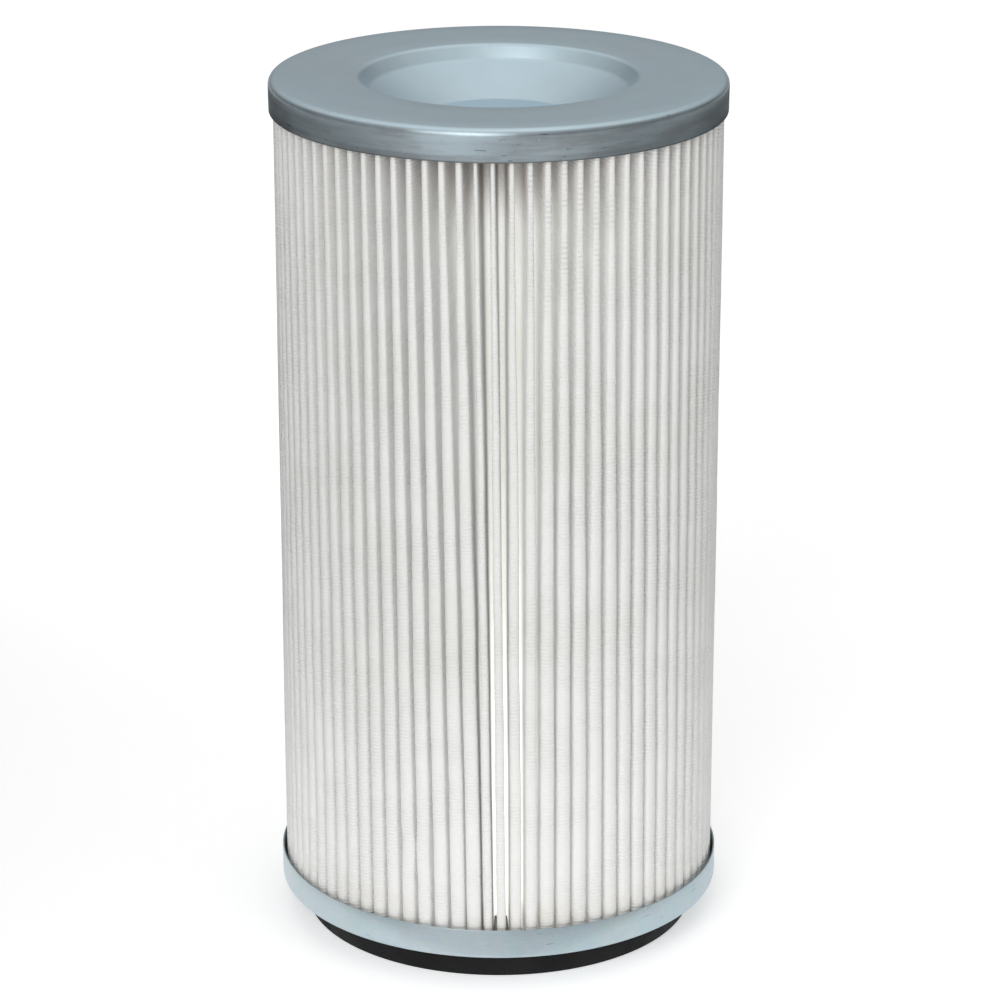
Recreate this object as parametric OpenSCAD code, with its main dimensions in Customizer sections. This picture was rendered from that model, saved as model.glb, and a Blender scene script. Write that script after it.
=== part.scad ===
// Pleated filter cartridge of a dust collector: a closed, dished top cap, an open foot cap
// with a flat face gasket, and a round pack of pleated polyester on an expanded-metal core.
// Origin: centre of the gasket's lower face. +Z is up, along the cartridge's axis.

/* [Overall] */
// Outside diameter of the two end caps
cap_d = 320; // [260:1:400]
// Height from the underside of the foot cap to the top face
body_h = 600; // [300:1:900]
// Thickness of the galvanised sheet of both caps
sheet_t = 1; // [0.6:0.1:1.4]

/* [Top cap] */
// Depth of the skirt round the top cap
skirt_h = 23; // [16:1:40]
// Outside bend radius from the top face to the skirt
top_bend = 4.5; // [3:0.5:6]
// Radial room from the core to the lip of the dish
lip_room = 10.5; // [5:0.5:20]
// Radial run of the steep step below the lip
step_run = 6; // [3:0.5:12]
// Drop of the steep step below the top face
step_drop = 10.5; // [9:0.5:16]
// Drop of the dish's flat floor below the top face
floor_drop = 31; // [20:0.1:40]
// Radius of the dish's flat floor
floor_r = 55; // [20:1:60]
// Bend radius of the dish's corners
dish_bend = 3; // [1.5:0.5:4]

/* [Foot cap] */
// Height of the outer wall of the foot cap
foot_wall_h = 22; // [16:1:40]
// Height of the collar round the clean-air outlet
collar_h = 26; // [16:1:45]
// Outside bend radius of the foot cap's two corners
foot_bend = 3; // [2:0.5:5]

/* [Pleated media] */
// Number of pleats round the pack
pleat_n = 82; // [60:1:98]
// Depth of the pleats, from tip to root
pleat_depth = 48; // [30:0.5:60]
// Thickness of the media
media_t = 0.7; // [0.4:0.1:1]
// Radius of an outer fold, at the middle of the media
tip_fold_r = 1.8; // [1.2:0.1:2]
// Radius of an inner fold, at the middle of the media
root_fold_r = 1.4; // [1:0.1:1.5]
// Gap between the pleat tips and the walls of the caps
media_gap = 1.5; // [0.8:0.1:5]
// Depth of the glue bead in the pleat that joins the two ends of the media
seam_depth = 12; // [6:1:24]

/* [Core] */
// Thickness of the expanded metal
core_t = 1.2; // [0.8:0.1:2]
// Gap between the core and the inner folds
core_gap = 0.8; // [0.4:0.1:0.9]
// Gap between the core and the collar of the foot cap
collar_gap = 1.5; // [1:0.1:3]
// Number of diamond openings round the core
mesh_cols = 14; // [10:1:24]
// Height from one row of openings to the next
mesh_rise = 30; // [18:1:40]
// Width of the strands between the openings
strand_w = 5; // [2:0.5:7]

/* [Potting] */
// Resin under the ends of the media and the core
pad_t = 2; // [1:0.5:4]
// Depth that the media and the core are embedded in the resin
embed = 7; // [4:0.5:8]

/* [Gasket] */
// Height of the foam gasket
gasket_h = 21.5; // [8:0.5:30]
// Radial width of the gasket
gasket_w = 24; // [12:1:30]
// Distance from the outlet's wall out to the gasket
gasket_inset = 13; // [6:1:16]
// Thickness of the glue between the gasket and the foot cap
glue_t = 0.5; // [0.3:0.1:1]
// Distance that the glue stays back from the gasket's edges
glue_back = 1; // [0.5:0.5:3]

/* [Hidden] */
$fn = 180;
bend_steps = 6;    // straight lengths in each bend of the sheet
fold_steps = 3;    // straight lengths in each fold of the media
over = 1;          // how far a cutter runs past what it cuts

cap_r = cap_d / 2;
foot_z = gasket_h + glue_t;                 // underside of the foot cap
top_z = foot_z + body_h;                    // top face
media_r = cap_r - sheet_t - media_gap;      // pleat tips
root_r = media_r - pleat_depth;             // pleat roots
core_r = root_r - core_gap;                 // outside of the core
core_in_r = core_r - core_t;
outlet_r = core_in_r - collar_gap - sheet_t;    // clear radius of the outlet
lip_r = core_in_r - lip_room;
crease_r = lip_r - step_run;
pack_z0 = foot_z + sheet_t + pad_t;         // lower ends of the media and the core
pack_z1 = top_z - sheet_t - pad_t;          // upper ends
resin_z0 = pack_z0 + embed;                 // surface of the resin in the foot
resin_z1 = pack_z1 - embed;                 // surface of the resin in the top cap
gasket_r = outlet_r + gasket_inset;

// plane vectors
function along(a, b) = (b - a) / norm(b - a);
function left(u) = [-u[1], u[0]];
function turned(v, a) = [v[0] * cos(a) - v[1] * sin(a), v[0] * sin(a) + v[1] * cos(a)];

// one bend of a sheet at corner b, on the face that lies off to the left of the line
function bend(a, b, c, r, off) =
    let (
        u = along(a, b),
        v = along(b, c),
        turn = atan2(u[0] * v[1] - u[1] * v[0], u * v),
        side = sign(turn),
        centre = b - u * r * tan(abs(turn) / 2) + left(u) * side * r
    )
    [for (k = [0 : bend_steps])
        centre - turned(left(u), turn * k / bend_steps) * side * (r - off * side)];

// one face of a bent sheet that follows the corners in line
function face(line, radii, off) =
    let (last = len(line) - 1)
    [
        line[0] + off * left(along(line[0], line[1])),
        for (i = [1 : last - 1]) each bend(line[i - 1], line[i], line[i + 1], radii[i - 1], off),
        line[last] + off * left(along(line[last - 1], line[last]))
    ];

function reversed(list) = [for (i = [len(list) - 1 : -1 : 0]) list[i]];

// outline of the sheet of the top cap, from the axis out to the skirt's edge
top_line = [
    [0, top_z - floor_drop],
    [floor_r, top_z - floor_drop],
    [crease_r, top_z - step_drop],
    [lip_r, top_z],
    [cap_r, top_z],
    [cap_r, top_z - skirt_h]
];
top_bends = [dish_bend, dish_bend, dish_bend, top_bend];

// outline of the sheet of the foot cap, from the collar's edge out to the wall's edge
foot_line = [
    [outlet_r, foot_z + collar_h],
    [outlet_r, foot_z],
    [cap_r, foot_z],
    [cap_r, foot_z + foot_wall_h]
];
foot_bends = [foot_bend, foot_bend];

// folds of the media: the centres of one outer and one inner fold, and the tangent between them
half_pitch = 180 / pleat_n;
tip_c = [media_r - media_t / 2 - tip_fold_r, 0];
root_c = turned([root_r + media_t / 2 + root_fold_r, 0], half_pitch);
to_root = root_c - tip_c;
fold_a = atan2(to_root[1], to_root[0]) - acos((tip_fold_r + root_fold_r) / norm(to_root));

function fold(centre, r, a0, a1) =
    [for (k = [0 : fold_steps]) centre + turned([r, 0], a0 + (a1 - a0) * k / fold_steps)];

// one face of the media over one pleat, off outwards from its middle
function pleat(off) = concat(
    fold(tip_c, tip_fold_r + off, -fold_a, fold_a),
    fold(root_c, root_fold_r - off, fold_a + 180, 2 * half_pitch + 180 - fold_a));

function media_face(off) =
    [for (i = [0 : pleat_n - 1]) for (p = pleat(off)) turned(p, 2 * half_pitch * i)];

module revolve() rotate_extrude() children();

module ring(r_in, r_out, z, h)
    translate([0, 0, z]) linear_extrude(h) difference() {
        circle(r_out);
        circle(r_in);
    }

// turns a pleat, and so the seam, to the front of the cartridge
module seam_to_front() rotate(-90) children();

module media_outline()
    seam_to_front() difference() {
        polygon(media_face(media_t / 2));
        polygon(media_face(-media_t / 2));
    }

// the core is rolled in flats, two to each column of openings
module core_outline() {
    corners = [for (k = [0 : 2 * mesh_cols - 1]) turned([1, 0], k * 180 / mesh_cols)];
    difference() {
        polygon(core_r * corners);
        polygon(core_in_r * corners);
    }
}

// what is cut out of the resin for the media and the core
module embedded(z)
    translate([0, 0, z]) linear_extrude(embed + over) {
        media_outline();
        core_outline();
    }

module top_cap()
    color([0.62, 0.67, 0.70]) revolve()
        polygon(concat(face(top_line, top_bends, 0), reversed(face(top_line, top_bends, -sheet_t))));

module top_potting()
    color([0.55, 0.47, 0.38]) difference() {
        revolve() intersection() {
            polygon(concat(face(top_line, top_bends, -sheet_t), [[cap_r - sheet_t, 0], [0, 0]]));
            translate([0, resin_z1]) square([cap_r, pad_t + embed + sheet_t]);
        }
        embedded(resin_z1 - over);
    }

module pleat_pack()
    color([0.93, 0.93, 0.91])
        translate([0, 0, pack_z0]) linear_extrude(pack_z1 - pack_z0) media_outline();

module seam_bead()
    color([0.90, 0.86, 0.74])
        translate([0, 0, resin_z0]) linear_extrude(resin_z1 - resin_z0) seam_to_front()
            intersection() {
                polygon(media_face(-media_t / 2));
                translate([tip_c[0] - seam_depth, -2 * tip_fold_r])
                    square([2 * seam_depth, 4 * tip_fold_r]);
            }

// one diamond opening, inset from its cell by half a strand on each side
module diamond() {
    a = core_r * sin(180 / mesh_cols);
    inset = 1 - strand_w / 2 * norm([a, mesh_rise]) / (a * mesh_rise);
    rotate([90, 0, 90]) linear_extrude(core_t + 3 * over)
        polygon(inset * [[-a, 0], [0, -mesh_rise], [a, 0], [0, mesh_rise]]);
}

module inner_core() {
    rows = floor((resin_z1 - resin_z0) / mesh_rise) - 1;
    z0 = (resin_z0 + resin_z1) / 2 - (rows - 1) * mesh_rise / 2;
    color([0.66, 0.68, 0.70]) difference() {
        translate([0, 0, pack_z0]) linear_extrude(pack_z1 - pack_z0) core_outline();
        for (row = [0 : rows - 1], col = [0 : mesh_cols - 1])
            rotate((col + (row % 2) / 2) * 360 / mesh_cols)
                translate([core_in_r - 2 * over, 0, z0 + row * mesh_rise]) diamond();
    }
}

module bottom_cap()
    color([0.69, 0.74, 0.77]) revolve()
        polygon(concat(face(foot_line, foot_bends, 0), reversed(face(foot_line, foot_bends, sheet_t))));

module bottom_potting()
    color([0.20, 0.19, 0.18]) difference() {
        revolve() intersection() {
            polygon(face(foot_line, foot_bends, sheet_t));
            translate([0, foot_z]) square([cap_r, resin_z0 - foot_z]);
        }
        embedded(pack_z0);
    }

module gasket()
    color([0.13, 0.13, 0.14]) ring(gasket_r, gasket_r + gasket_w, 0, gasket_h);

module gasket_glue()
    color([0.75, 0.70, 0.55])
        ring(gasket_r + glue_back, gasket_r + gasket_w - glue_back, gasket_h, glue_t);

top_cap();
top_potting();
pleat_pack();
seam_bead();
inner_core();
bottom_cap();
bottom_potting();
gasket();
gasket_glue();
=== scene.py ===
import math
import random
import bpy
import bmesh
import numpy as np
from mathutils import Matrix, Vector


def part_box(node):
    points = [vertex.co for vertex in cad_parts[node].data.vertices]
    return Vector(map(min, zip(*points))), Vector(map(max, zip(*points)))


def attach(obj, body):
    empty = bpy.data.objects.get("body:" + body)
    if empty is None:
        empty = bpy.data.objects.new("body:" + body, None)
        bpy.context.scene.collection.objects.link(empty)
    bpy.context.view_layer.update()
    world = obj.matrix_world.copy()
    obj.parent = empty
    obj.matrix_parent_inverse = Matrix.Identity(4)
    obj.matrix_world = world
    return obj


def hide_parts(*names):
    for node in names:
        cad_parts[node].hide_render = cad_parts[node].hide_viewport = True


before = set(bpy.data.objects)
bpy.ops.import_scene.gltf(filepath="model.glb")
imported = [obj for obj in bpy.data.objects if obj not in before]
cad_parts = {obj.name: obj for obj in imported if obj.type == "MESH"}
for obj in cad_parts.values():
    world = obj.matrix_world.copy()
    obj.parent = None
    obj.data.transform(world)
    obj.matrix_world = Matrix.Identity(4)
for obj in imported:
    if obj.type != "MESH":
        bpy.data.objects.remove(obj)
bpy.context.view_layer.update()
print("frame loaded:", sorted(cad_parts))

mm = 0.001
capLow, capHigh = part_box("top_cap")
footLow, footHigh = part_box("bottom_cap")
packLow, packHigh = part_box("pleat_pack")
coreLow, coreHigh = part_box("inner_core")
gasketLow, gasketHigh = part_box("gasket")
glueLow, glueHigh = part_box("gasket_glue")
topResinLow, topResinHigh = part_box("top_potting")
footResinLow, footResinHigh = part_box("bottom_potting")
skirtEdge = capHigh.z - 23 * mm  # the lower edge of the top cap's skirt; its dish goes lower inside
boreRadius = 105 * mm
gasketBore = 118 * mm


# modelling

def deselectAll():
    active = bpy.context.view_layer.objects.active
    if active and active.mode != "OBJECT":
        bpy.ops.object.mode_set(mode="OBJECT")
    bpy.ops.object.select_all(action="DESELECT")


def makeActive(piece):
    deselectAll()
    piece.select_set(True)
    bpy.context.view_layer.objects.active = piece


def applyModifier(piece, kind, **settings):
    makeActive(piece)
    modifier = piece.modifiers.new(kind.title(), kind)
    for key, value in settings.items():
        setattr(modifier, key, value)
    bpy.ops.object.modifier_apply(modifier=modifier.name)


def selectRing(piece, radius, height):  # the level ring of edges at that radius and height
    mesh = bmesh.from_edit_mesh(piece.data)
    bpy.ops.mesh.select_all(action="DESELECT")
    for edge in mesh.edges:
        edge.select = all(abs(math.hypot(v.co.x, v.co.y) - radius) < 1e-5 and abs(v.co.z - height) < 1e-5
                          for v in edge.verts)
    bmesh.update_edit_mesh(piece.data)


# rings: (radius, height) in turn; bends: (ring number, width of the bevel)
def turnShell(name, rings, around, bends=(), filled=False, closed=False, bendSteps=5):
    deselectAll()
    bpy.ops.mesh.primitive_circle_add(
        vertices=around, radius=rings[0][0], location=(0, 0, rings[0][1]),
        fill_type="NGON" if filled else "NOTHING")
    piece = bpy.context.object
    piece.name = name
    bpy.ops.object.transform_apply(location=True)
    bpy.ops.object.mode_set(mode="EDIT")
    bpy.ops.mesh.select_mode(type="EDGE")
    bpy.ops.mesh.select_all(action="SELECT")
    path = list(rings) + ([rings[0]] if closed else [])
    for (radius, height), (nextRadius, nextHeight) in zip(path, path[1:]):
        bpy.ops.mesh.extrude_edges_move(TRANSFORM_OT_translate={"value": (0, 0, nextHeight - height)})
        grow = nextRadius / radius
        bpy.ops.transform.resize(value=(grow, grow, 1), center_override=(0, 0, nextHeight))
    if closed:
        bpy.ops.mesh.select_all(action="SELECT")
        bpy.ops.mesh.remove_doubles(threshold=1e-6)
        bpy.ops.mesh.normals_make_consistent(inside=False)
    for ring, width in bends:
        selectRing(piece, *rings[ring])
        bpy.ops.mesh.bevel(offset=width, offset_type="OFFSET", segments=bendSteps, profile=0.5)
    bpy.ops.object.mode_set(mode="OBJECT")
    return piece


def faceTowards(piece, direction):  # turns an open shell so that its largest face looks that way
    largest = max(piece.data.polygons, key=lambda face: face.area)
    if largest.normal.dot(Vector(direction)) < 0:
        makeActive(piece)
        bpy.ops.object.mode_set(mode="EDIT")
        bpy.ops.mesh.select_all(action="SELECT")
        bpy.ops.mesh.flip_normals()
        bpy.ops.object.mode_set(mode="OBJECT")


def thickenSheet(piece, thickness):
    applyModifier(piece, "SOLIDIFY", thickness=thickness, offset=-1, use_even_offset=True)
    applyModifier(piece, "BEVEL", width=thickness * 0.25, segments=2, limit_method="ANGLE",
                  angle_limit=math.radians(60))


def smooth(piece, degrees=35):
    makeActive(piece)
    bpy.ops.object.shade_smooth_by_angle(angle=math.radians(degrees))


def moveVertices(piece, rule):  # rule takes an array of places and returns the new ones
    places = np.zeros(len(piece.data.vertices) * 3, np.float32)
    piece.data.vertices.foreach_get("co", places)
    moved = rule(places.astype(float).reshape(-1, 3))
    piece.data.vertices.foreach_set("co", moved.astype(np.float32).reshape(-1))
    piece.data.update()


def settle(piece, slot, material, *nodes):  # every finished piece gets its finish and its place here
    piece.data.materials.clear()
    piece.data.materials.append(material)
    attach(piece, "root")
    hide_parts(*nodes)
    print("made", piece.name, len(piece.data.polygons), "faces")
    return piece


# materials

class Paint:  # a material and short ways to wire its nodes
    def __init__(self, name, **constants):
        self.material = bpy.data.materials.new(name)
        self.material.use_nodes = True
        self.nodes = self.material.node_tree.nodes
        self.links = self.material.node_tree.links
        self.surface = self.nodes["Principled BSDF"]
        self.place = self.nodes.new("ShaderNodeTexCoord").outputs["Object"]
        for socket, value in constants.items():
            self.surface.inputs[socket.replace("_", " ")].default_value = value

    def feed(self, node, socket, value):
        target = node.inputs[socket]
        if isinstance(value, bpy.types.NodeSocket):
            self.links.new(value, target)
        else:
            target.default_value = value

    def math(self, operation, a, b=0.0):
        node = self.nodes.new("ShaderNodeMath")
        node.operation = operation
        self.feed(node, 0, a)
        self.feed(node, 1, b)
        return node.outputs[0]

    def stretch(self, x, y, z, place=None):
        node = self.nodes.new("ShaderNodeMapping")
        self.feed(node, "Vector", place or self.place)
        self.feed(node, "Scale", (x, y, z))
        return node.outputs[0]

    def noise(self, scale, detail=4, rough=0.55, place=None):
        node = self.nodes.new("ShaderNodeTexNoise")
        self.feed(node, "Vector", place or self.place)
        self.feed(node, "Scale", scale)
        self.feed(node, "Detail", detail)
        self.feed(node, "Roughness", rough)
        return node.outputs["Fac"]

    def cells(self, scale, output="Distance"):
        node = self.nodes.new("ShaderNodeTexVoronoi")
        self.feed(node, "Vector", self.place)
        self.feed(node, "Scale", scale)
        return node.outputs[output]

    def ramp(self, value, low, high, lowTo=0.0, highTo=1.0):  # smooth, and flat outside low to high
        node = self.nodes.new("ShaderNodeMapRange")
        node.interpolation_type = "SMOOTHSTEP"
        for socket, number in zip(("Value", "From Min", "From Max", "To Min", "To Max"),
                                  (value, low, high, lowTo, highTo)):
            self.feed(node, socket, number)
        return node.outputs[0]

    def mix(self, share, one, other, blend="MIX"):
        node = self.nodes.new("ShaderNodeMix")
        node.data_type = "RGBA"
        node.blend_type = blend
        self.feed(node, 0, share)
        self.feed(node, 6, one)
        self.feed(node, 7, other)
        return node.outputs[2]

    def axes(self):
        node = self.nodes.new("ShaderNodeSeparateXYZ")
        self.links.new(self.place, node.inputs[0])
        return node.outputs

    def radius(self):
        x, y, z = self.axes()
        return self.math("SQRT", self.math("ADD", self.math("MULTIPLY", x, x), self.math("MULTIPLY", y, y)))

    def wrapped(self):  # places unrolled round the axis: metres round, 0, height
        x, y, z = self.axes()
        node = self.nodes.new("ShaderNodeCombineXYZ")
        self.feed(node, 0, self.math("MULTIPLY", self.math("ARCTAN2", y, x), capHigh.x))
        self.feed(node, 2, z)
        return node.outputs[0]

    def bump(self, height, distance, under=None):
        node = self.nodes.new("ShaderNodeBump")
        self.feed(node, "Height", height)
        self.feed(node, "Distance", distance)
        if under:
            self.feed(node, "Normal", under)
        return node.outputs[0]

    def finish(self, color=None, roughness=None, normal=None):
        for socket, value in (("Base Color", color), ("Roughness", roughness), ("Normal", normal)):
            if value is not None:
                self.feed(self.surface, socket, value)
        return self.material


def gray(level, tint=(1, 1, 1)):
    return (level * tint[0], level * tint[1], level * tint[2], 1)


# rolled zinc-coated sheet: faint spangle and grain, and dark scuffs round a wall that was drawn; painted
# shade makes the wall, its lower edge and the dish darker
def galvanisedSheet(name, light, dark, wall=None, scuffed=0.3):
    paint = Paint(name, Metallic=1.0)
    height = paint.axes()[2]
    blotch = paint.noise(9, 5)
    grain = paint.noise(1, 3, place=paint.stretch(30, 900, 900))
    color = paint.mix(paint.ramp(blotch, 0.35, 0.65), light, dark)
    color = paint.mix(0.06, color, paint.cells(140, "Color"), "SOFT_LIGHT")
    color = paint.mix(paint.ramp(grain, 0.3, 0.7, 0, 0.08), color, gray(0.9))
    along = paint.wrapped()
    if wall:
        # painted shade: the wall gets its own darker colour, with smudges from drawing on it
        drawn = paint.noise(1, 4, 0.65, place=paint.stretch(12, 1, 150, along))
        onWall = paint.ramp(paint.radius(), capHigh.x - 1.6 * mm, capHigh.x - 0.3 * mm)
        smudged = paint.math("ADD", drawn, paint.math("MULTIPLY", paint.noise(34, 4), 0.5))
        shadedSmudgedWall = paint.mix(paint.ramp(smudged, 0.62, 0.92, 0, 0.5), wall, gray(0.2, (1, 1, 1)))
        color = paint.mix(onWall, color, shadedSmudgedWall)
        # painted shade: a dark line along the skirt's lower edge
        nearEdge = paint.ramp(height, skirtEdge + 1.4 * mm, skirtEdge + 0.3 * mm)
        edgeShade = paint.math("MULTIPLY", nearEdge, onWall)
        color = paint.mix(paint.math("MULTIPLY", edgeShade, 0.75), color, gray(0.10))
        # painted shade: the dish is darker than the face, unevenly
        dishShade = paint.ramp(paint.radius(), 93 * mm, 89 * mm)
        dishShadeColor = paint.mix(paint.noise(26, 5, 0.65), light, gray(0.88), "MULTIPLY")
        color = paint.mix(dishShade, color, dishShadeColor)
    dashes = paint.noise(1, 3, 0.7, place=paint.stretch(55, 1, 480, along))
    scuff = paint.math("MULTIPLY", paint.ramp(dashes, 0.62, 0.70), paint.ramp(paint.noise(22, 2), 0.48, 0.6))
    atRim = paint.ramp(paint.radius(), capHigh.x - 2 * mm, capHigh.x - 0.5 * mm)
    scuff = paint.math("MULTIPLY", scuff, atRim)
    color = paint.mix(paint.math("MULTIPLY", scuff, scuffed), color, gray(0.03, (1, 1.1, 1.2)))
    specks = paint.ramp(paint.cells(160), 0.10, 0.06)
    specks = paint.math("MULTIPLY", specks, paint.ramp(paint.noise(14, 2), 0.56, 0.66))
    color = paint.mix(paint.math("MULTIPLY", specks, scuffed), color, gray(0.06))
    scratch = paint.noise(1, 2, 0.4, place=paint.stretch(700, 16, 500))
    color = paint.mix(paint.ramp(scratch, 0.745, 0.77, 0, 0.35), color, gray(0.8))
    evenRoughness = paint.ramp(blotch, 0.3, 0.7, 0.34, 0.42)
    roughness = paint.math("ADD", evenRoughness, paint.math("MULTIPLY", scuff, 0.2))
    normal = paint.bump(grain, 0.00002, paint.bump(paint.noise(60, 3), 0.00008))
    return paint.finish(color, roughness, normal)


# spunbond polyester: fibres, fine ribs across, resin drawn up into the folds at both ends, painted shade in
# the folds and a painted glow
clothLook = {
    "paintedGlow": 0.54, "paintedGlowDepth": 32 * mm,  # painted light: the cloth glows, standing in for light let through the thin cloth and bounced in the folds; grows with depth
    "ribPitch": 2.6 * mm, "beadPitch": 3.6 * mm,
    "topStainAndShadeReach": 58 * mm, "footStainReach": 26 * mm,
}


def embossedCloth(name, look):
    paint = Paint(name, Specular_IOR_Level=0.2, Emission_Strength=look["paintedGlow"])
    x, y, height = paint.axes()
    radius = paint.radius()
    front = paint.ramp(y, -0.110, -0.145)  # the seam is at the front
    seam = paint.math("MULTIPLY", front, paint.ramp(paint.math("ABSOLUTE", x), 45 * mm, 6 * mm))
    deep = paint.ramp(radius, packHigh.x - 9 * mm, packHigh.x - 1.5 * mm, 1, 0)
    fibres = paint.noise(700, 5, 0.7)
    patches = paint.ramp(paint.noise(16, 4), 0.3, 0.7)
    color = paint.mix(patches, gray(0.80, (1, 1, 0.985)), gray(0.76, (1, 1, 0.97)))
    # painted light: the cloth is lighter towards the bottom
    color = paint.mix(paint.ramp(height, 0.30, 0.08, 0, 0.75), color, gray(0.90, (1, 1, 0.985)))
    color = paint.mix(paint.ramp(fibres, 0.35, 0.75, 0, 0.10), color, gray(0.70))
    ribs = paint.math("SINE", paint.math("MULTIPLY", height, 2 * math.pi / look["ribPitch"]))
    worn = paint.ramp(paint.noise(26, 2), 0.35, 0.65, 0.3, 1)
    # painted shade in the grooves between the ribs
    grooveShade = paint.math("MULTIPLY", paint.ramp(ribs, 0.3, -0.8), worn)
    color = paint.mix(paint.math("MULTIPLY", grooveShade, 0.10), color, gray(0.45, (1, 1, 0.97)))
    uneven = paint.ramp(paint.noise(30, 3), 0.3, 0.7, 0.45, 1)
    # resin stain drawn up the folds under the top cap, together with painted shade deep in the folds under
    # the skirt, heavier at the seam
    topStainAndShade = paint.ramp(height, skirtEdge - look["topStainAndShadeReach"], skirtEdge)
    topStainAndShade = paint.math("MULTIPLY", paint.math("MULTIPLY", topStainAndShade, deep), uneven)
    amount = paint.math("ADD", paint.math("MULTIPLY", seam, 0.55), 0.22)
    color = paint.mix(paint.math("MULTIPLY", topStainAndShade, amount), color, (0.33, 0.25, 0.21, 1))
    nearFoot = paint.ramp(height, footHigh.z, footHigh.z + look["footStainReach"], 1, 0)
    footStain = paint.math("MULTIPLY", nearFoot, paint.ramp(paint.noise(38, 3), 0.35, 0.7, 0.02, 0.25))
    color = paint.mix(footStain, color, (0.62, 0.56, 0.44, 1))
    # painted shade between beads of highlight along the fold tips on the front right
    beads = paint.math("SINE", paint.math("MULTIPLY", height, 2 * math.pi / look["beadPitch"]))
    beaded = paint.math("MULTIPLY", paint.ramp(x, 6 * mm, 14 * mm), paint.ramp(x, 95 * mm, 70 * mm))
    beaded = paint.math("MULTIPLY", paint.math("MULTIPLY", beaded, front), paint.ramp(height, 0.46, 0.55))
    beaded = paint.math("MULTIPLY", beaded, paint.ramp(radius, packHigh.x - 2.2 * mm, packHigh.x - 1.0 * mm))
    broken = paint.noise(1, 2, place=paint.stretch(90, 90, 45))
    beaded = paint.math("MULTIPLY", beaded, paint.ramp(broken, 0.4, 0.6))
    beadGapShade = paint.math("MULTIPLY", paint.ramp(beads, 0.2, -0.7), beaded)
    color = paint.mix(paint.math("MULTIPLY", beadGapShade, 0.25), color, gray(0.35))
    # painted light: the glow grows deep in the folds, is weaker under the cap and on the left, and stronger
    # towards the bottom
    paintedGlow = paint.ramp(radius, packHigh.x - 2 * mm, packHigh.x - look["paintedGlowDepth"], 0, 1)
    paintedGlow = paint.math("MULTIPLY", paintedGlow, paint.ramp(height, skirtEdge - 55 * mm, skirtEdge, 1, 0.25))
    # painted shade: less glow in the pinched folds by the seam
    fromSeam = paint.math("ABSOLUTE", paint.math("ADD", x, 5 * mm))
    pinched = paint.math("MULTIPLY", front, paint.ramp(fromSeam, 20 * mm, 5 * mm))
    paintedGlow = paint.math("MULTIPLY", paintedGlow, paint.ramp(pinched, 0, 1, 1, 0.08))
    paintedGlow = paint.math("MULTIPLY", paintedGlow, paint.ramp(x, -0.15, 0.12, 0.25, 1))
    paintedGlow = paint.math("MULTIPLY", paintedGlow, paint.ramp(height, 0.12, 0.42, 1, 0.62))
    # painted shade: less glow low down by the seam
    low = paint.math("MULTIPLY", paint.ramp(height, footHigh.z + 14 * mm, footHigh.z - 4 * mm), seam)
    paintedGlow = paint.math("MULTIPLY", paintedGlow, paint.ramp(low, 0, 1, 1, 0.45))
    paint.feed(paint.surface, "Emission Color", paint.mix(paintedGlow, gray(0), gray(1, (1, 1, 0.975))))
    normal = paint.bump(fibres, 0.00010, paint.bump(paint.math("MULTIPLY", ribs, worn), 0.00015))
    return paint.finish(color, 0.85, normal)


def castResin(name, one, other):
    paint = Paint(name)
    color = paint.mix(paint.ramp(paint.noise(45, 4), 0.35, 0.65), one, other)
    return paint.finish(color, paint.ramp(paint.noise(90, 3), 0.3, 0.7, 0.3, 0.5),
                        paint.bump(paint.noise(130, 3), 0.0004))


def foamRubber(name):
    paint = Paint(name, Specular_IOR_Level=0.18)
    pores = paint.cells(900)
    color = paint.mix(paint.ramp(paint.noise(30, 4), 0.3, 0.7), gray(0.007), gray(0.013, (1, 0.95, 1.1)))
    return paint.finish(color, paint.ramp(paint.noise(60, 3), 0.3, 0.7, 0.55, 0.75),
                        paint.bump(pores, 0.00025, paint.bump(paint.noise(40, 3), 0.0004)))


def meltGlue(name, one, other):
    paint = Paint(name, Coat_Weight=0.2)
    color = paint.mix(paint.ramp(paint.noise(60, 3), 0.3, 0.7), one, other)
    return paint.finish(color, 0.4, paint.bump(paint.noise(180, 3), 0.0005))


# the closed top cap
topCapSizes = {
    "around": 256, "sheet": 1.0 * mm, "rimBend": 5.0 * mm,
    "lipRadius": 97 * mm, "lipBend": 2.2 * mm,
    "creaseRadius": 91 * mm, "creaseDrop": 10.5 * mm, "creaseBend": 1.6 * mm,
    "floorRadius": 55 * mm, "floorBend": 1.5 * mm,
}


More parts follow.
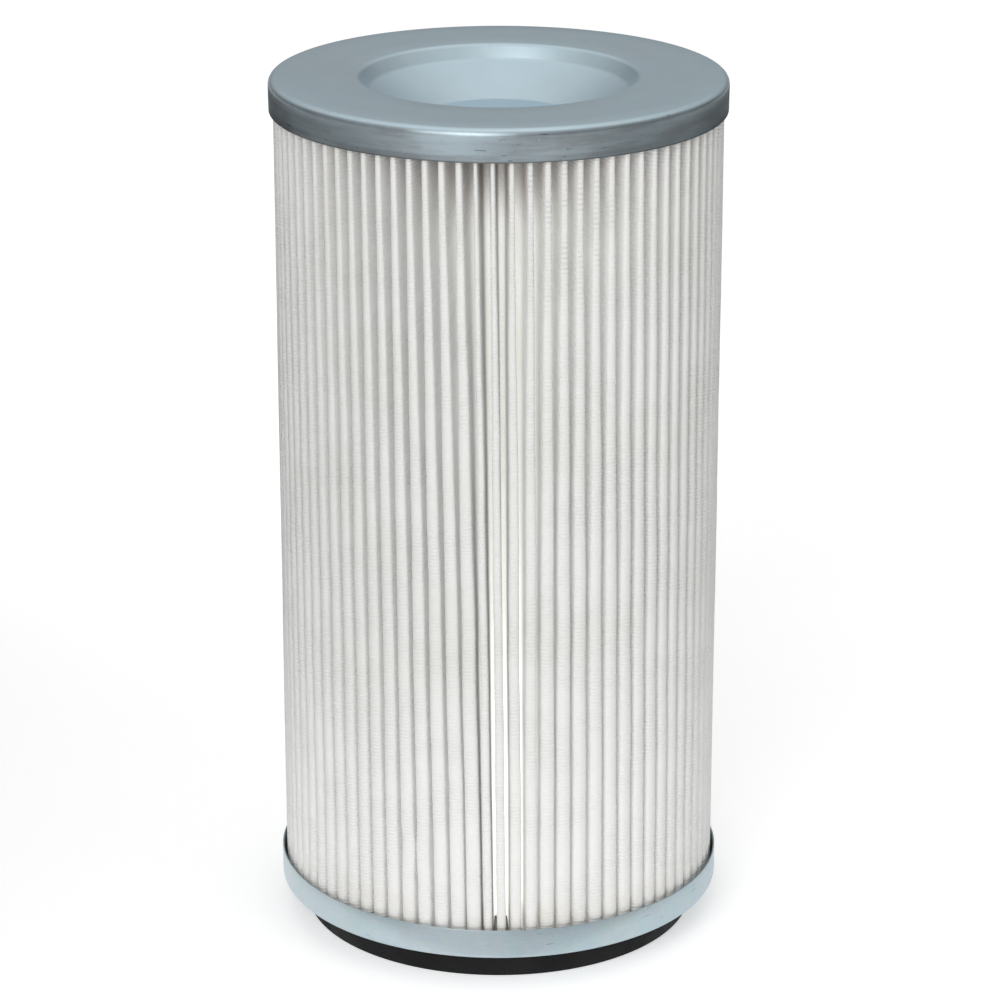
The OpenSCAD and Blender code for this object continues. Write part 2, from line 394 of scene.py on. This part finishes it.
def makeTopCap(sizes):
    rim, top = capHigh.x, capHigh.z
    floor = capLow.z + sizes["sheet"]
    crease = top - sizes["creaseDrop"]
    middle = (sizes["floorRadius"] + sizes["creaseRadius"]) / 2
    rings = [
        (sizes["floorRadius"], floor), (middle, (floor + crease) / 2), (sizes["creaseRadius"], crease),
        (sizes["lipRadius"], top), (118 * mm, top), (138 * mm, top), (rim, top),
        (rim, top - 10 * mm), (rim, top - 17 * mm), (rim, skirtEdge),
    ]
    bends = ((0, sizes["floorBend"]), (2, sizes["creaseBend"]), (3, sizes["lipBend"]), (6, sizes["rimBend"]))
    piece = turnShell("topCap", rings, sizes["around"], bends, filled=True)
    faceTowards(piece, (0, 0, 1))

    def pressed(places):  # the ring of the face is not quite flat, and the skirt's edge not quite round
        turn = np.arctan2(places[:, 1], places[:, 0])
        radius = np.hypot(places[:, 0], places[:, 1])
        onFace = np.clip((radius - 0.10) / 0.03, 0, 1) * np.clip((rim - radius) / 0.02, 0, 1)
        places[:, 2] -= onFace * (0.10 + 0.10 * np.sin(3 * turn + 0.6) + 0.06 * np.sin(7 * turn)) * mm
        onSkirt = np.clip((top - 8 * mm - places[:, 2]) / (15 * mm), 0, 1) * (radius > rim - 1 * mm)
        squeeze = 1 - onSkirt * (0.20 + 0.12 * np.sin(2 * turn + 1) + 0.08 * np.sin(9 * turn)) * mm / rim
        places[:, :2] *= squeeze[:, None]
        return places

    moveVertices(piece, pressed)
    thickenSheet(piece, sizes["sheet"])
    smooth(piece)
    # the wall's darker colour is painted shade
    material = galvanisedSheet("rolledZincTop", (0.66, 0.81, 0.89, 1), (0.60, 0.75, 0.82, 1),
                               wall=(0.36, 0.43, 0.47, 1), scuffed=0.9)
    return settle(piece, "top_steel", material, "top_cap")


# the open foot cap, with its collar
footCapSizes = {"around": 256, "sheet": 1.0 * mm, "bend": 3.0 * mm}


def makeFootCap(sizes):
    rim, under = footHigh.x, footLow.z
    wallTop = glueHigh.z + 22 * mm
    collarTop = footHigh.z
    rings = [
        (boreRadius, collarTop), (boreRadius, under), (gasketBore, under), (142 * mm, under), (rim, under),
        (rim, under + 10 * mm), (rim, wallTop),
    ]
    piece = turnShell("footCap", rings, sizes["around"], ((1, sizes["bend"]), (4, sizes["bend"])))
    faceTowards(piece, (0, 0, -1))

    def pressed(places):
        turn = np.arctan2(places[:, 1], places[:, 0])
        radius = np.hypot(places[:, 0], places[:, 1])
        onWall = np.clip((places[:, 2] - under - 6 * mm) / (16 * mm), 0, 1) * (radius > rim - 1 * mm)
        squeeze = 1 - onWall * (0.15 + 0.15 * np.sin(2 * turn) + 0.08 * np.sin(7 * turn + 2)) * mm / rim
        places[:, :2] *= squeeze[:, None]
        return places

    moveVertices(piece, pressed)
    thickenSheet(piece, sizes["sheet"])
    smooth(piece)
    material = galvanisedSheet("rolledZincFoot", (0.50, 0.59, 0.63, 1), (0.44, 0.54, 0.58, 1))
    return settle(piece, "foot_steel", material, "bottom_cap")


# the pleated pack: one flat sheet, folded
pleatSizes = {
    "count": 82, "thickness": 0.7 * mm, "depth": 48 * mm, "rows": 46,
    "foldAtFoot": 4.6 * mm, "foldAtTop": 1.5 * mm,  # half the width of an outer fold
    "rootFold": 1.4 * mm, "tipPoints": 7, "rootPoints": 3, "legPoints": 1,
    "firstTip": -0.4,  # degrees round from the front, as are the widths
    "seamWidths": {-2: 4.2, -1: 3.65, 0: 4.0, 1: 4.45, 2: 4.2, 3: 4.45, 4: 4.1},
    "seamFolds": {-1: 0.55, 0: 0.62, 1: 0.76, 2: 0.82},  # shares of the usual fold
    "twist": 3.9,  # degrees for each metre of height
    "gather": 0.11, "gatherReach": 16,  # how far the pleats near the seam close up at the foot
    "sway": 0.30 * mm, "proud": 0.22 * mm,
    "kinks": ((-26.6, 100 * mm, 1.0 * mm), (-21.9, 96 * mm, -0.8 * mm), (-13.0, 150 * mm, 0.5 * mm)),
}


# tip and root angles of every pleat at mid-height, in degrees round from the front
def pleatPlan(sizes):
    random.seed(82)
    count = sizes["count"]
    usual = (360 - sum(sizes["seamWidths"].values())) / (count - len(sizes["seamWidths"]))
    widths = []
    for number in range(count):
        near = number if number < count / 2 else number - count
        widths.append(sizes["seamWidths"].get(near, usual * (1 + random.uniform(-0.03, 0.03))))
    widths = [width * 360 / sum(widths) for width in widths]
    edges = [sizes["firstTip"] - widths[0] / 2]
    for width in widths:
        edges.append(edges[-1] + width)
    tips = [(a + b) / 2 for a, b in zip(edges, edges[1:])]
    sways = []
    for number in range(count):
        sways.append([(random.uniform(0.4, 1), random.uniform(5, 9), random.uniform(0, 6.28)),
                      (random.uniform(0.1, 0.45), random.uniform(14, 26), random.uniform(0, 6.28))])
    return tips, edges[1:], sways


def swayAt(waves, height, held):
    return held * sum(size * np.sin(pace * height / 0.3 * 1.5 + start) for size, pace, start in waves)


def onCircle(radius, turn):
    return np.stack([radius * np.cos(turn), radius * np.sin(turn)], -1)


# places of the middle of the cloth: one row of points for each height
def foldedRows(sizes):
    tips, roots, sways = pleatPlan(sizes)
    half = sizes["thickness"] / 2
    rootCentre = packHigh.x - sizes["depth"] + half + sizes["rootFold"]
    share = np.linspace(0, 1, sizes["rows"] + 1)
    heights = packLow.z + share * (packHigh.z - packLow.z)
    middle = (packLow.z + packHigh.z) / 2
    held = np.sin(np.pi * share) ** 0.6
    lean = 1 - 2 * share
    usualFold = sizes["foldAtFoot"] + (sizes["foldAtTop"] - sizes["foldAtFoot"]) * share ** 2.2
    twist = np.radians(sizes["twist"] * (middle - heights))
    tipTurns = np.linspace(-90, 90, sizes["tipPoints"])
    rootTurns = np.linspace(-90, 90, sizes["rootPoints"])
    legShares = [(k + 1) / (sizes["legPoints"] + 1) for k in range(sizes["legPoints"])]

    def turnAt(angle):
        near = (angle + 180) % 360 - 180
        pull = sizes["gather"] * near * math.exp(-(near / sizes["gatherReach"]) ** 2)
        return np.radians(angle - 90) + twist - np.radians(pull) * lean

    def foldAt(number):
        near = number if number < sizes["count"] / 2 else number - sizes["count"]
        wide = usualFold * sizes["seamFolds"].get(near, 1)
        return wide, 1.0 * mm + 0.32 * wide

    columns = []
    for number in range(sizes["count"]):
        sway = swayAt(sways[number], heights, held) * sizes["sway"]
        for angle, level, size in sizes["kinks"]:
            if abs((tips[number] - angle + 180) % 360 - 180) < 2.2:
                sway = sway + size * np.exp(-((heights - level) / (11 * mm)) ** 2)
        proud = swayAt(sways[number - 5], heights, held) * sizes["proud"]
        wide, nose = foldAt(number)
        nextWide, nextNose = foldAt((number + 1) % sizes["count"])
        outer = packHigh.x - half - 0.2 * mm - sizes["proud"]
        tipTurn = turnAt(tips[number]) + sway / packHigh.x
        rootTurn = turnAt(roots[number])
        nextTurn = turnAt(tips[(number + 1) % sizes["count"]])
        if number == sizes["count"] - 1:
            nextTurn = nextTurn + 2 * math.pi
        nextSway = swayAt(sways[(number + 1) % sizes["count"]], heights, held) * sizes["sway"]
        nextTurn = nextTurn + nextSway / packHigh.x
        nextProud = swayAt(sways[(number + 1) % sizes["count"] - 5], heights, held) * sizes["proud"]
        tip = onCircle(outer - nose + proud, tipTurn)
        nextTip = onCircle(outer - nextNose + nextProud, nextTurn)
        root = onCircle(rootCentre, rootTurn)
        tipArc = []
        for turn in np.radians(tipTurns):
            across = onCircle(wide * math.sin(turn), tipTurn + math.pi / 2)
            tipArc.append(tip + onCircle(nose * math.cos(turn), tipTurn) + across)
        rootArc = [root + onCircle(sizes["rootFold"], rootTurn + math.pi - math.radians(turn))
                   for turn in rootTurns]
        nextStart = nextTip + onCircle(nextWide, nextTurn - math.pi / 2)
        columns += tipArc
        columns += [tipArc[-1] * (1 - s) + rootArc[0] * s for s in legShares]
        columns += rootArc
        columns += [rootArc[-1] * (1 - s) + nextStart * s for s in legShares]
    return heights, np.stack(columns, 1)


def makePleats(sizes):
    heights, rows = foldedRows(sizes)
    columns = rows.shape[1]
    deselectAll()
    bpy.ops.mesh.primitive_grid_add(x_subdivisions=columns, y_subdivisions=sizes["rows"], size=1)
    piece = bpy.context.object
    piece.name = "pleatedMedia"

    def fold(places):
        column = np.rint((places[:, 0] + 0.5) * columns).astype(int) % columns
        row = np.rint((places[:, 1] + 0.5) * sizes["rows"]).astype(int)
        return np.column_stack([rows[row, column], heights[row]])

    moveVertices(piece, fold)
    bpy.ops.object.mode_set(mode="EDIT")
    bpy.ops.mesh.select_all(action="SELECT")
    bpy.ops.mesh.remove_doubles(threshold=1e-7)
    bpy.ops.object.mode_set(mode="OBJECT")
    applyModifier(piece, "SOLIDIFY", thickness=sizes["thickness"], offset=0, use_even_offset=False)
    smooth(piece, 80)
    settle(piece, "media", embossedCloth("spunbondPolyester", clothLook), "pleat_pack")
    return piece


# the glue inside the seam's pleat
beadSizes = {"steps": 46, "width": 2.4 * mm, "near": 4 * mm, "deep": 14 * mm}


def makeSeamBead(sizes):
    heights, rows = foldedRows(pleatSizes)
    arc = rows[:, :pleatSizes["tipPoints"]]
    centre = (arc[:, 0] + arc[:, -1]) / 2
    low, high = footResinHigh.z - 1 * mm, topResinLow.z + 1 * mm
    deselectAll()
    bpy.ops.mesh.primitive_cube_add(size=1)
    piece = bpy.context.object
    piece.name = "seamBead"
    bpy.ops.object.mode_set(mode="EDIT")
    mesh = bmesh.from_edit_mesh(piece.data)
    bpy.ops.mesh.select_all(action="DESELECT")
    for edge in mesh.edges:
        edge.select = abs(edge.verts[0].co.z - edge.verts[1].co.z) > 0.5
    bmesh.update_edit_mesh(piece.data)
    bpy.ops.mesh.subdivide(number_cuts=sizes["steps"])
    bpy.ops.object.mode_set(mode="OBJECT")

    def lay(places):
        height = low + (places[:, 2] + 0.5) * (high - low)
        x = np.interp(height, heights, centre[:, 0])
        y = np.interp(height, heights, centre[:, 1])
        out = np.column_stack([x, y]) / np.hypot(x, y)[:, None]
        side = np.column_stack([-out[:, 1], out[:, 0]])
        uneven = 1 + 0.12 * np.sin(height * 190) + 0.08 * np.sin(height * 71)
        depth = sizes["near"] + (places[:, 0] + 0.5) * (sizes["deep"] * uneven - sizes["near"])
        across = places[:, 1] * sizes["width"]
        flat = np.column_stack([x, y]) - out * depth[:, None] + side * across[:, None]
        return np.column_stack([flat, height])

    moveVertices(piece, lay)
    makeActive(piece)
    bpy.ops.object.mode_set(mode="EDIT")
    bpy.ops.mesh.select_all(action="SELECT")
    bpy.ops.mesh.normals_make_consistent(inside=False)
    bpy.ops.object.mode_set(mode="OBJECT")
    applyModifier(piece, "BEVEL", width=0.8 * mm, segments=2, limit_method="ANGLE",
                  angle_limit=math.radians(50))
    smooth(piece, 60)
    material = meltGlue("hotMelt", (0.80, 0.74, 0.58, 1), (0.72, 0.66, 0.50, 1))
    return settle(piece, "seam_glue", material, "seam_bead")


# the resin in the two caps
resinSizes = {"clear": 0.4 * mm, "climb": 0.7 * mm, "corner": 4.2 * mm, "around": 192}


# a cast ring with a low meniscus at its walls; wet is +1 where its free face looks up
def makeResin(sizes, name, inner, outer, low, high, wet, slot, material, node):
    free, back = (high, low + sizes["clear"]) if wet > 0 else (low, high - sizes["clear"])
    climb = sizes["climb"] * wet
    inner, outer = inner + sizes["clear"], outer - sizes["clear"]
    span = outer - inner
    rings = [(inner, back), (outer, back), (outer, free + climb), (outer - 1.2 * mm, free)]
    rings += [(outer - span * share, free) for share in (0.25, 0.5, 0.75)]
    rings += [(inner + 1.2 * mm, free), (inner, free + climb)]
    bends = ((0, sizes["corner"] / 2), (1, sizes["corner"]))
    piece = turnShell(name, rings, sizes["around"], bends, closed=True, bendSteps=3)

    def settled(places):
        turn = np.arctan2(places[:, 1], places[:, 0])
        onFree = np.abs(places[:, 2] - free) < 1 * mm
        places[:, 2] += onFree * (0.25 * np.sin(4 * turn + 1) + 0.15 * np.sin(11 * turn)) * mm
        return places

    moveVertices(piece, settled)
    smooth(piece, 50)
    return settle(piece, slot, material, node)


# the expanded-metal core
coreSizes = {"columns": 38, "rows": 64, "strand": 1.9 * mm, "raised": 0.5 * mm}


def makeCore(sizes):
    radius = coreHigh.x - 0.6 * mm
    height = coreHigh.z - coreLow.z
    deselectAll()
    bpy.ops.mesh.primitive_cylinder_add(
        vertices=sizes["columns"], radius=radius, depth=height, end_fill_type="NOTHING",
        location=(0, 0, (coreLow.z + coreHigh.z) / 2))
    piece = bpy.context.object
    piece.name = "expandedCore"
    bpy.ops.object.transform_apply(location=True)
    bpy.ops.object.mode_set(mode="EDIT")
    bpy.ops.mesh.select_mode(type="EDGE")
    mesh = bmesh.from_edit_mesh(piece.data)
    bpy.ops.mesh.select_all(action="DESELECT")
    for edge in mesh.edges:
        edge.select = abs(edge.verts[0].co.z - edge.verts[1].co.z) > 0.1
    bmesh.update_edit_mesh(piece.data)
    bpy.ops.mesh.subdivide(number_cuts=sizes["rows"] - 1)
    bpy.ops.mesh.select_all(action="SELECT")
    bpy.ops.mesh.poke()
    mesh = bmesh.from_edit_mesh(piece.data)
    bpy.ops.mesh.select_all(action="DESELECT")
    bpy.ops.mesh.select_mode(type="EDGE")
    for edge in mesh.edges:  # what is left after these go is a net of diamonds
        a, b = (v.co for v in edge.verts)
        level = abs(a.z - b.z) < 1e-5
        upright = abs(math.atan2(a.x * b.y - a.y * b.x, a.x * b.x + a.y * b.y)) < 1e-4
        edge.select = (level or upright) and not edge.is_boundary
    bmesh.update_edit_mesh(piece.data)
    bpy.ops.mesh.dissolve_edges(use_verts=False)
    bpy.ops.object.mode_set(mode="OBJECT")

    def roll(places):
        flat = np.hypot(places[:, 0], places[:, 1])
        centres = flat < radius - 0.05 * mm
        wanted = np.where(centres, radius - sizes["raised"] / 2, radius + sizes["raised"] / 2)
        places[:, :2] *= (wanted / flat)[:, None]
        return places

    moveVertices(piece, roll)
    applyModifier(piece, "WIREFRAME", thickness=sizes["strand"], use_even_offset=False,
                  use_boundary=True, use_replace=True, offset=0)
    smooth(piece, 30)
    material = galvanisedSheet("zincExpanded", (0.52, 0.55, 0.57, 1), (0.44, 0.47, 0.50, 1))
    return settle(piece, "core_steel", material, "inner_core")


# the gasket and its glue
gasketSizes = {"edge": 1.2 * mm, "around": 200}


def makeGasket(sizes):
    outer, inner = gasketHigh.x, gasketBore
    low, high = gasketLow.z, gasketHigh.z
    rings = [(inner, low), ((inner + outer) / 2, low), (outer, low), (outer, (low + high) / 2),
             (outer, high), (inner, high), (inner, (low + high) / 2)]
    piece = turnShell("faceGasket", rings, sizes["around"],
                      ((0, sizes["edge"]), (2, sizes["edge"]), (4, sizes["edge"]), (5, sizes["edge"])),
                      closed=True, bendSteps=3)

    def soft(places):  # foam bulges a little between its faces
        turn = np.arctan2(places[:, 1], places[:, 0])
        radius = np.hypot(places[:, 0], places[:, 1])
        share = np.clip((places[:, 2] - low) / (high - low), 0, 1)
        bulge = 0.5 * np.sin(np.pi * share) + 0.12 * np.sin(13 * turn + 2) * np.sin(np.pi * share)
        outwards = np.sign(radius - (inner + outer) / 2)
        places[:, :2] *= (1 + outwards * (bulge - 0.5) * mm / radius)[:, None]
        return places

    moveVertices(piece, soft)
    smooth(piece, 50)
    return settle(piece, "foam_rubber", foamRubber("closedCellFoam"), "gasket")


def makeGasketGlue():
    inner, outer = 119 * mm, glueHigh.x
    low, high = glueLow.z, glueHigh.z
    rings = [(inner, low), (outer, low), (outer + 0.3 * mm, (low + high) / 2), (outer, high), (inner, high),
             (inner - 0.3 * mm, (low + high) / 2)]
    piece = turnShell("gasketGlue", rings, 192, closed=True)

    def squeezed(places):
        turn = np.arctan2(places[:, 1], places[:, 0])
        radius = np.hypot(places[:, 0], places[:, 1])
        outwards = np.sign(radius - (inner + outer) / 2)
        ripple = 0.35 * np.sin(17 * turn) * np.sin(5 * turn + 1) * mm
        places[:, :2] *= (1 + outwards * ripple / radius)[:, None]
        return places

    moveVertices(piece, squeezed)
    smooth(piece, 60)
    material = meltGlue("contactGlue", (0.60, 0.52, 0.34, 1), (0.52, 0.44, 0.28, 1))
    return settle(piece, "gasket_glue", material, "gasket_glue")


# studio
studioSizes = {
    "floor": 30.0, "floorGlow": 0.46,
    "cameraBack": 2.6143, "cameraHigh": 1.2274, "pitch": 19.353, "lens": 138.6, "shift": 0.0013,
    "horizon": 0.12, "zenith": 0.84,
    "keyPlace": (-1.0, -3.2, 1.9), "keySize": (2.0, 2.0), "keyPower": 50,
    "flags": ((-3.7, -0.7, -1.4, 0.8, 0.30), (0.7, 3.7, -1.4, 0.8, 0.26), (-3.7, 3.7, 0.8, 3.6, 0.06),
              (-0.7, 0.7, -3.6, -0.18, 0.82)),
    "cards": ((-0.62, 0.0, 0.5, 1.3, 0.9), (0.95, 0.1, 0.5, 0.9, 0.8)),
}


def makeStudio(sizes):
    deselectAll()
    bpy.ops.mesh.primitive_plane_add(size=sizes["floor"], location=(0, 0, gasketLow.z))
    floor = bpy.context.object
    floor.name = "floor"
    paint = Paint("palePaper", Roughness=0.9, Specular_IOR_Level=0.1, Emission_Strength=sizes["floorGlow"])
    paint.surface.inputs["Emission Color"].default_value = gray(1)
    color = paint.mix(paint.ramp(paint.noise(2, 3), 0.3, 0.7), gray(0.93), gray(0.95))
    floor.data.materials.append(paint.finish(color))

    for left, right, near, far, level in sizes["flags"]:  # dark flags on the floor that only the metal sees
        bpy.ops.mesh.primitive_plane_add(size=1, location=((left + right) / 2, (near + far) / 2, 8 * mm))
        flag = bpy.context.object
        flag.name = "flag"
        flag.scale = (right - left, far - near, 1)
        shade = Paint("flagCloth", Roughness=1.0, Specular_IOR_Level=0.0, Emission_Strength=level)
        shade.surface.inputs["Emission Color"].default_value = gray(1)
        flag.data.materials.append(shade.finish(gray(0.0)))
        flag.visible_camera = False
        flag.visible_diffuse = False
        flag.visible_shadow = False
        flag.visible_transmission = False

    for place, near, high, deep, tall in sizes["cards"]:  # dark upright cards that only the cloth sees
        bpy.ops.mesh.primitive_plane_add(size=1, location=(place, near, high), rotation=(0, math.pi / 2, 0))
        card = bpy.context.object
        card.name = "card"
        card.scale = (tall, deep, 1)
        black = Paint("cardBlack", Roughness=1.0, Specular_IOR_Level=0.0)
        card.data.materials.append(black.finish(gray(0.0)))
        card.visible_camera = False
        card.visible_glossy = False
        card.visible_shadow = False
        card.visible_transmission = False

    camera = bpy.data.objects.new("camera", bpy.data.cameras.new("camera"))
    bpy.context.scene.collection.objects.link(camera)
    camera.data.lens = sizes["lens"]
    camera.data.sensor_width = 36
    camera.data.shift_x = sizes["shift"]
    camera.location = (0, -sizes["cameraBack"], sizes["cameraHigh"])
    camera.rotation_euler = (math.radians(90 - sizes["pitch"]), 0, 0)
    bpy.context.scene.camera = camera

    light = bpy.data.objects.new("keyLight", bpy.data.lights.new("keyLight", "AREA"))
    light.data.shape = "RECTANGLE"
    light.data.size, light.data.size_y = sizes["keySize"]
    light.data.energy = sizes["keyPower"]
    light.location = sizes["keyPlace"]
    light.rotation_euler = (Vector((0, 0, 0.3)) - light.location).to_track_quat("-Z", "Y").to_euler()
    bpy.context.scene.collection.objects.link(light)

    world = bpy.data.worlds.new("studio")
    bpy.context.scene.world = world
    world.use_nodes = True
    nodes, links = world.node_tree.nodes, world.node_tree.links
    split = nodes.new("ShaderNodeSeparateXYZ")
    links.new(nodes.new("ShaderNodeTexCoord").outputs["Generated"], split.inputs[0])
    level = nodes.new("ShaderNodeMapRange")  # soft light that grows from the horizon to overhead
    level.inputs["To Min"].default_value = sizes["horizon"]
    level.inputs["To Max"].default_value = sizes["zenith"]
    links.new(split.outputs["Z"], level.inputs["Value"])
    links.new(level.outputs[0], nodes["Background"].inputs["Strength"])
    nodes["Background"].inputs["Color"].default_value = gray(1)
    bpy.context.scene.view_settings.view_transform = "Standard"


makeStudio(studioSizes)
makeTopCap(topCapSizes)
makeFootCap(footCapSizes)
makePleats(pleatSizes)
makeSeamBead(beadSizes)
makeResin(resinSizes, "topResin", 101 * mm, topResinHigh.x, topResinLow.z, topResinHigh.z, -1,
          "top_resin", castResin("tanResin", (0.40, 0.31, 0.22, 1), (0.34, 0.26, 0.18, 1)),
          "top_potting")
# painted shade: the foot resin is near black, standing in for the shade deep between the pleats
makeResin(resinSizes, "footResin", 106 * mm, footResinHigh.x, footResinLow.z, footResinHigh.z, 1,
          "foot_resin", castResin("shadeBlackResin", (0.03, 0.028, 0.026, 1), (0.05, 0.045, 0.04, 1)),
          "bottom_potting")
makeCore(coreSizes)
makeGasket(gasketSizes)
makeGasketGlue()
